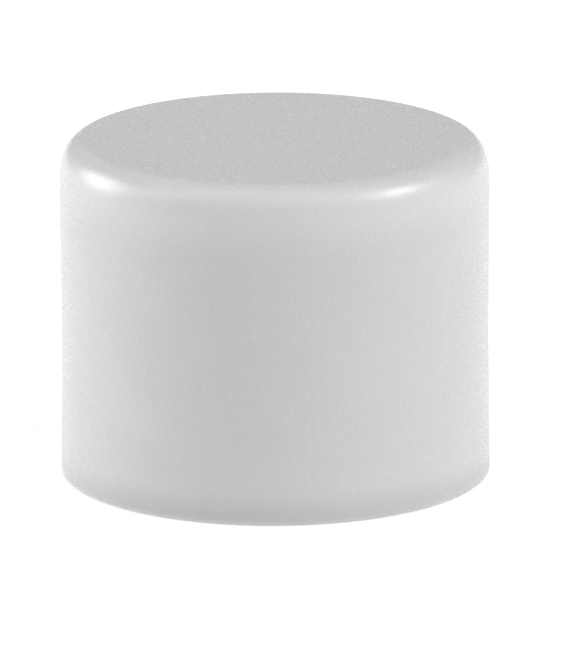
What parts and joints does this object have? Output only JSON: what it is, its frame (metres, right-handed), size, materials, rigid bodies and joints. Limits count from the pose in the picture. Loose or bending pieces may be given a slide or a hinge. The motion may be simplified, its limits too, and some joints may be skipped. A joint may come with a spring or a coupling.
{
  "type": "pipe cap",
  "caption": "Round slip cap that closes the end of a rigid plastic pipe: flat closed end, rounded shoulder, straight side and a tapered socket with a pipe stop.",
  "frame": {"origin": "centre of the open rim, in the plane of the rim", "axes": "+Z along the cap's axis, from the open rim to the closed end; X and Y are alike, because the cap is round"},
  "size_m": [0.0502, 0.0502, 0.0401],
  "materials": {
    "white_pvc": "semi-gloss moulded white rigid PVC"
  },
  "bodies": {
    "root": {"cap_body": "white_pvc"}
  },
  "joints": []
}
